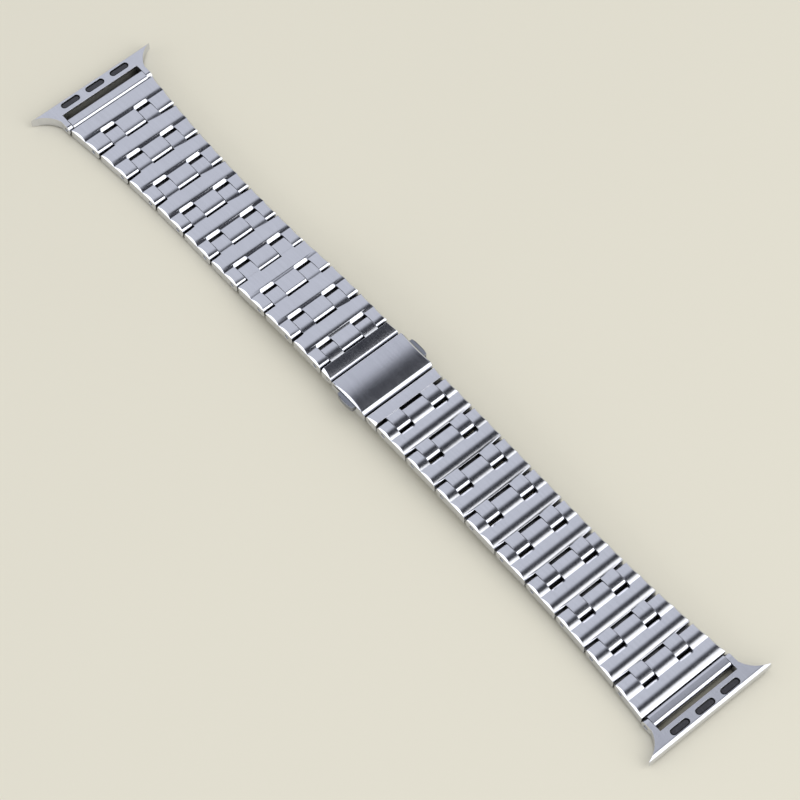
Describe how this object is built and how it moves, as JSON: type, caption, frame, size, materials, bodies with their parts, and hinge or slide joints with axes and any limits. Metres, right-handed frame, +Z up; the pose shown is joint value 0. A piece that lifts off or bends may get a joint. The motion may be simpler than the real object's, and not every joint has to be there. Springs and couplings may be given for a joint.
{
  "type": "link watch band",
  "caption": "Flat-laid link watch band: crowned, interleaved metal links tapering to a centre folding clasp with two side push buttons, flared end fittings at both ends.",
  "frame": {"origin": "middle of the clasp base's underside, on the table the band lies on", "axes": "+X along the band towards half b (the half at the picture's lower right), +Y across the band towards the far button, +Z up, away from the wrist side"},
  "size_m": [0.1965, 0.032, 0.0052],
  "materials": {
    "link_steel": "fine satin brushed along the band, polished side chamfers",
    "fitting_steel": "fine satin top, polished round outer edge",
    "cover_steel": "satin crown, polished edges",
    "blade_steel": "plain satin sheet",
    "button_steel": "satin, polished face",
    "pin_steel": "turned, polished",
    "spring_steel": "drawn wire",
    "inlay": "glossy black inlay"
  },
  "bodies": {
    "base": {"clasp_base": "blade_steel", "clasp_cover": "cover_steel", "hinge_pin_a": "pin_steel", "hinge_pin_b": "pin_steel"},
    "button_far": {"button_far": "button_steel", "button_spring_far": "spring_steel"},
    "button_near": {"button_near": "button_steel", "button_spring_near": "spring_steel"},
    "wing_a": {"wing_a": "blade_steel"},
    "end_link_a": {"end_link_a": "link_steel", "pivot_bar_a": "pin_steel"},
    "link_a9": {"link_a9": "link_steel", "link_pin_a9": "pin_steel"},
    "link_a8": {"link_a8": "link_steel", "link_pin_a8": "pin_steel"},
    "link_a7": {"link_a7": "link_steel", "link_pin_a7": "pin_steel"},
    "link_a6": {"link_a6": "link_steel", "link_pin_a6": "pin_steel"},
    "link_a5": {"link_a5": "link_steel", "link_pin_a5": "pin_steel"},
    "link_a4": {"link_a4": "link_steel", "link_pin_a4": "pin_steel"},
    "link_a3": {"link_a3": "link_steel", "link_pin_a3": "pin_steel"},
    "link_a2": {"link_a2": "link_steel", "link_pin_a2": "pin_steel"},
    "link_a1": {"link_a1": "link_steel", "link_pin_a1": "pin_steel"},
    "end_fitting_a": {"end_fitting_a": "fitting_steel", "end_fitting_pin_a": "pin_steel", "slot_inlays_a": "inlay"},
    "lock_a": {"lock_tongue_a": "pin_steel"},
    "wing_b": {"wing_b": "blade_steel"},
    "end_link_b": {"end_link_b": "link_steel", "pivot_bar_b": "pin_steel"},
    "link_b9": {"link_b9": "link_steel", "link_pin_b9": "pin_steel"},
    "link_b8": {"link_b8": "link_steel", "link_pin_b8": "pin_steel"},
    "link_b7": {"link_b7": "link_steel", "link_pin_b7": "pin_steel"},
    "link_b6": {"link_b6": "link_steel", "link_pin_b6": "pin_steel"},
    "link_b5": {"link_b5": "link_steel", "link_pin_b5": "pin_steel"},
    "link_b4": {"link_b4": "link_steel", "link_pin_b4": "pin_steel"},
    "link_b3": {"link_b3": "link_steel", "link_pin_b3": "pin_steel"},
    "link_b2": {"link_b2": "link_steel", "link_pin_b2": "pin_steel"},
    "link_b1": {"link_b1": "link_steel", "link_pin_b1": "pin_steel"},
    "end_fitting_b": {"end_fitting_b": "fitting_steel", "end_fitting_pin_b": "pin_steel", "slot_inlays_b": "inlay"},
    "lock_b": {"lock_tongue_b": "pin_steel"}
  },
  "joints": [
    {"name": "button_far_press", "type": "slide", "parent": "base", "child": "button_far", "axis": [0, -1, 0], "range_m": [0, 0.0008], "stiffness_N_per_m": 900, "springref_m": -0.0006},
    {"name": "button_near_press", "type": "slide", "parent": "base", "child": "button_near", "axis": [0, 1, 0], "range_m": [0, 0.0008], "stiffness_N_per_m": 900, "springref_m": -0.0006},
    {"name": "wing_a_fold", "type": "hinge", "parent": "base", "child": "wing_a", "pos_m": [-0.01884, 0, 0.00105], "axis": [0, -1, 0], "range_deg": [0, 125]},
    {"name": "end_link_a_pivot", "type": "hinge", "parent": "wing_a", "child": "end_link_a", "pos_m": [-0.0067, 0, 0.00355], "axis": [0, -1, 0], "range_deg": [-125, 0]},
    {"name": "link_a9_bend", "type": "hinge", "parent": "end_link_a", "child": "link_a9", "pos_m": [-0.01084, 0, 0.00355], "axis": [0, -1, 0], "range_deg": [-8, 0]},
    {"name": "link_a8_bend", "type": "hinge", "parent": "link_a9", "child": "link_a8", "pos_m": [-0.01994, 0, 0.00355], "axis": [0, -1, 0], "range_deg": [-11.88, 20.12]},
    {"name": "link_a7_bend", "type": "hinge", "parent": "link_a8", "child": "link_a7", "pos_m": [-0.02902, 0, 0.00294], "axis": [0, -1, 0], "range_deg": [-11.24, 20.76]},
    {"name": "link_a6_bend", "type": "hinge", "parent": "link_a7", "child": "link_a6", "pos_m": [-0.03805, 0, 0.00181], "axis": [0, -1, 0], "range_deg": [-2.82, 29.18]},
    {"name": "link_a5_bend", "type": "hinge", "parent": "link_a6", "child": "link_a5", "pos_m": [-0.04714, 0, 0.0015], "axis": [0, -1, 0], "range_deg": [-6.06, 25.94]},
    {"name": "link_a4_bend", "type": "hinge", "parent": "link_a5", "child": "link_a4", "pos_m": [-0.05624, 0, 0.0015], "axis": [0, -1, 0], "range_deg": [-8, 24]},
    {"name": "link_a3_bend", "type": "hinge", "parent": "link_a4", "child": "link_a3", "pos_m": [-0.06534, 0, 0.0015], "axis": [0, -1, 0], "range_deg": [-8, 24]},
    {"name": "link_a2_bend", "type": "hinge", "parent": "link_a3", "child": "link_a2", "pos_m": [-0.07444, 0, 0.0015], "axis": [0, -1, 0], "range_deg": [-8, 24]},
    {"name": "link_a1_bend", "type": "hinge", "parent": "link_a2", "child": "link_a1", "pos_m": [-0.08354, 0, 0.0015], "axis": [0, -1, 0], "range_deg": [-8, 24]},
    {"name": "end_fitting_a_bend", "type": "hinge", "parent": "link_a1", "child": "end_fitting_a", "pos_m": [-0.09193, 0, 0.0015], "axis": [0, -1, 0], "range_deg": [-8, 24]},
    {"name": "lock_a_press", "type": "slide", "parent": "end_fitting_a", "child": "lock_a", "axis": [0, 0, 1], "range_m": [0, 0.0002], "stiffness_N_per_m": 400, "springref_m": -0.0004},
    {"name": "wing_b_fold", "type": "hinge", "parent": "base", "child": "wing_b", "pos_m": [0.01884, 0, 0.00105], "axis": [0, 1, 0], "range_deg": [0, 125]},
    {"name": "end_link_b_pivot", "type": "hinge", "parent": "wing_b", "child": "end_link_b", "pos_m": [0.0067, 0, 0.00355], "axis": [0, 1, 0], "range_deg": [-125, 0]},
    {"name": "link_b9_bend", "type": "hinge", "parent": "end_link_b", "child": "link_b9", "pos_m": [0.01084, 0, 0.00355], "axis": [0, 1, 0], "range_deg": [-8, 0]},
    {"name": "link_b8_bend", "type": "hinge", "parent": "link_b9", "child": "link_b8", "pos_m": [0.01994, 0, 0.00355], "axis": [0, 1, 0], "range_deg": [-9.61, 22.39]},
    {"name": "link_b7_bend", "type": "hinge", "parent": "link_b8", "child": "link_b7", "pos_m": [0.02904, 0, 0.00329], "axis": [0, 1, 0], "range_deg": [-8, 24]},
    {"name": "link_b6_bend", "type": "hinge", "parent": "link_b7", "child": "link_b6", "pos_m": [0.03813, 0, 0.00304], "axis": [0, 1, 0], "range_deg": [-8, 24]},
    {"name": "link_b5_bend", "type": "hinge", "parent": "link_b6", "child": "link_b5", "pos_m": [0.04723, 0, 0.00278], "axis": [0, 1, 0], "range_deg": [-8, 24]},
    {"name": "link_b4_bend", "type": "hinge", "parent": "link_b5", "child": "link_b4", "pos_m": [0.05633, 0, 0.00252], "axis": [0, 1, 0], "range_deg": [-8, 24]},
    {"name": "link_b3_bend", "type": "hinge", "parent": "link_b4", "child": "link_b3", "pos_m": [0.06542, 0, 0.00227], "axis": [0, 1, 0], "range_deg": [-8, 24]},
    {"name": "link_b2_bend", "type": "hinge", "parent": "link_b3", "child": "link_b2", "pos_m": [0.07452, 0, 0.00201], "axis": [0, 1, 0], "range_deg": [-8, 24]},
    {"name": "link_b1_bend", "type": "hinge", "parent": "link_b2", "child": "link_b1", "pos_m": [0.08361, 0, 0.00176], "axis": [0, 1, 0], "range_deg": [-8.14, 23.86]},
    {"name": "end_fitting_b_bend", "type": "hinge", "parent": "link_b1", "child": "end_fitting_b", "pos_m": [0.092, 0, 0.0015], "axis": [0, 1, 0], "range_deg": [-6.25, 25.75]},
    {"name": "lock_b_press", "type": "slide", "parent": "end_fitting_b", "child": "lock_b", "axis": [0, 0, 1], "range_m": [0, 0.0002], "stiffness_N_per_m": 400, "springref_m": -0.0004}
  ],
  "couplings": [
    {"joint": "end_link_a_pivot", "follows": "wing_a_fold", "ratio": -1},
    {"joint": "end_link_b_pivot", "follows": "wing_b_fold", "ratio": -1}
  ]
}
